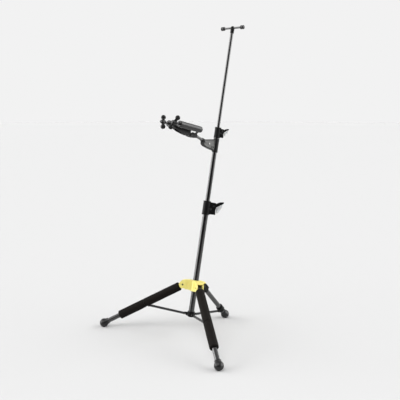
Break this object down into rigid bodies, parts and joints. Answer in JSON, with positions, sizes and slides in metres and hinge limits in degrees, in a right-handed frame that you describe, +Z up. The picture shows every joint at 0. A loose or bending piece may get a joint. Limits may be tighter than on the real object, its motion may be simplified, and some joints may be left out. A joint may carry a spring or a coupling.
{
  "type": "saxophone stand",
  "caption": "Leaning tripod instrument stand with a folding leg hub, a telescoping post with lever clutches, a padded yoke with swing gates and a T-bar on top.",
  "frame": {"origin": "centre of the bounding box, on the floor plane under the feet", "axes": "+Z up, +X to the right of someone who faces the yoke, -Y the side that the yoke and the two long legs point to, +Y towards the short rear leg that the post leans over"},
  "size_m": [0.7726, 0.5666, 1.4597],
  "materials": {
    "coat_black": "satin black powder coat",
    "plastic_black": "fine moulded grain",
    "rubber_black": "soft moulded rubber",
    "foam_black": "closed-cell foam skin",
    "plastic_yellow": "satin moulded plastic",
    "plastic_pale": "satin pale grey moulding",
    "cast_grey": "satin grey coat",
    "arm_grey": "dark satin rod",
    "gate_plastic": "moulded rubber over a core",
    "steel_dark": "black coated steel",
    "steel_bright": "zinc plated"
  },
  "bodies": {
    "post": {"lower_tube": "coat_black", "post_plug": "plastic_black", "spreader_hub": "plastic_black", "spreader_screw": "steel_dark", "low_clutch_body": "plastic_black", "low_clutch_fasteners": "steel_dark", "low_clutch_shoe": "steel_dark"},
    "hub": {"leg_hub": "plastic_yellow", "leg_pivot_pins": "steel_dark"},
    "leg_left": {"leg_tube_left": "coat_black", "leg_cap_left": "plastic_black", "foot_left": "rubber_black", "brace_bracket_left": "plastic_black", "bracket_pin_left": "steel_dark", "foam_upper_left": "foam_black", "foam_lower_left": "foam_black"},
    "leg_right": {"leg_tube_right": "coat_black", "leg_cap_right": "plastic_black", "foot_right": "rubber_black", "brace_bracket_right": "plastic_black", "bracket_pin_right": "steel_dark", "foam_upper_right": "foam_black", "foam_lower_right": "foam_black"},
    "leg_rear": {"leg_tube_rear": "coat_black", "rear_knuckle": "plastic_black", "foot_rear": "rubber_black", "brace_bracket_rear": "plastic_black", "bracket_pin_rear": "steel_dark"},
    "brace_left": {"brace_left": "steel_dark", "brace_pin_left": "steel_dark"},
    "brace_right": {"brace_right": "steel_dark", "brace_pin_right": "steel_dark"},
    "brace_rear": {"brace_rear": "steel_dark", "brace_pin_rear": "steel_dark"},
    "low_lever": {"low_clutch_lever": "plastic_black", "low_clutch_grip": "plastic_pale"},
    "mid_slider": {"mid_tube_bush": "plastic_black"},
    "mid_post": {"mid_tube": "coat_black", "top_clutch_body": "plastic_black", "top_clutch_fasteners": "steel_dark", "top_clutch_shoe": "steel_dark", "yoke_bracket": "cast_grey", "bracket_screws": "steel_bright", "yoke_arm": "arm_grey", "yoke_body": "plastic_black", "prong_rods": "steel_dark", "prong_sleeve_left": "foam_black", "prong_sleeve_right": "foam_black", "trigger_pin": "steel_dark", "gate_nuts": "steel_dark"},
    "top_lever": {"top_clutch_lever": "plastic_black", "top_clutch_grip": "plastic_pale"},
    "rod_slider": {"rod_bush": "plastic_black"},
    "rod": {"top_rod": "coat_black", "t_socket": "plastic_black", "t_bar": "coat_black", "t_bar_knobs": "rubber_black"},
    "trigger": {"trigger_plate": "plastic_black"},
    "gate_left": {"gate_left": "gate_plastic"},
    "gate_right": {"gate_right": "gate_plastic"}
  },
  "joints": [
    {"name": "leg_hub_slide", "type": "slide", "parent": "post", "child": "hub", "axis": [0, 0.2181, 0.9759], "range_m": [0, 0.24067]},
    {"name": "leg_fold_left", "type": "hinge", "parent": "hub", "child": "leg_left", "pos_m": [-0.05023, -0.02991, 0.22476], "axis": [0.5, -0.8452, 0.1889], "range_deg": [-0.01, 47.42]},
    {"name": "leg_fold_right", "type": "hinge", "parent": "hub", "child": "leg_right", "pos_m": [0.05023, -0.02991, 0.22476], "axis": [0.5, 0.8452, -0.1889], "range_deg": [-0.01, 47.42]},
    {"name": "leg_fold_rear", "type": "hinge", "parent": "hub", "child": "leg_rear", "pos_m": [0, 0.055, 0.20578], "axis": [-1, 0, 0], "range_deg": [-0.01, 47.42]},
    {"name": "brace_fold_left", "type": "hinge", "parent": "leg_left", "child": "brace_left", "pos_m": [-0.18252, -0.13221, 0.11724], "axis": [-0.5, 0.8452, -0.1889], "range_deg": [-0.01, 123.49]},
    {"name": "brace_fold_right", "type": "hinge", "parent": "leg_right", "child": "brace_right", "pos_m": [0.18252, -0.13221, 0.11724], "axis": [-0.5, -0.8452, 0.1889], "range_deg": [-0.01, 123.49]},
    {"name": "brace_fold_rear", "type": "hinge", "parent": "leg_rear", "child": "brace_rear", "pos_m": [0, 0.17632, 0.04827], "axis": [1, 0, 0], "range_deg": [-0.01, 123.49]},
    {"name": "low_clutch_lever", "type": "hinge", "parent": "post", "child": "low_lever", "pos_m": [0.02334, 0.10657, 0.59541], "axis": [0.7071, -0.6901, 0.1543], "range_deg": [0, 55]},
    {"name": "mid_post_slide", "type": "slide", "parent": "post", "child": "mid_slider", "axis": [0, 0.2181, 0.9759], "range_m": [-0.205, 0.16]},
    {"name": "mid_post_swivel", "type": "hinge", "parent": "mid_slider", "child": "mid_post", "pos_m": [0, 0.05937, 0.4912], "axis": [0, 0.2181, 0.9759], "range_deg": [-180, 180]},
    {"name": "top_clutch_lever", "type": "hinge", "parent": "mid_post", "child": "top_lever", "pos_m": [0.01591, 0.17851, 0.95129], "axis": [0.7071, -0.6901, 0.1543], "range_deg": [0, 55]},
    {"name": "rod_slide", "type": "slide", "parent": "mid_post", "child": "rod_slider", "axis": [0, 0.2181, 0.9759], "range_m": [-0.455, 0.03]},
    {"name": "rod_swivel", "type": "hinge", "parent": "rod_slider", "child": "rod", "pos_m": [0, 0.16102, 0.94598], "axis": [0, 0.2181, 0.9759], "range_deg": [-180, 180]},
    {"name": "trigger_press", "type": "hinge", "parent": "mid_post", "child": "trigger", "pos_m": [0, -0.0404, 0.94336], "axis": [1, 0, 0], "range_deg": [0, 10], "stiffness_Nm_per_rad": 1.2, "springref_deg": -5.73},
    {"name": "gate_turn_left", "type": "hinge", "parent": "mid_post", "child": "gate_left", "pos_m": [-0.034, -0.17471, 1.00719], "axis": [0, -0.9759, 0.2181], "range_deg": [0, 45.6]},
    {"name": "gate_turn_right", "type": "hinge", "parent": "mid_post", "child": "gate_right", "pos_m": [0.034, -0.17471, 1.00719], "axis": [0, -0.9759, 0.2181], "range_deg": [-45.6, 0]}
  ],
  "couplings": [
    {"joint": "leg_fold_left", "follows": "leg_hub_slide", "rad_per_m": 3.4374},
    {"joint": "leg_fold_right", "follows": "leg_hub_slide", "rad_per_m": 3.4374},
    {"joint": "leg_fold_rear", "follows": "leg_hub_slide", "rad_per_m": 3.4374},
    {"joint": "brace_fold_left", "follows": "leg_hub_slide", "rad_per_m": 8.9538},
    {"joint": "brace_fold_right", "follows": "leg_hub_slide", "rad_per_m": 8.9538},
    {"joint": "brace_fold_rear", "follows": "leg_hub_slide", "rad_per_m": 8.9538},
    {"joint": "gate_turn_left", "follows": "trigger_press", "ratio": 4.55},
    {"joint": "gate_turn_right", "follows": "trigger_press", "ratio": -4.55}
  ]
}
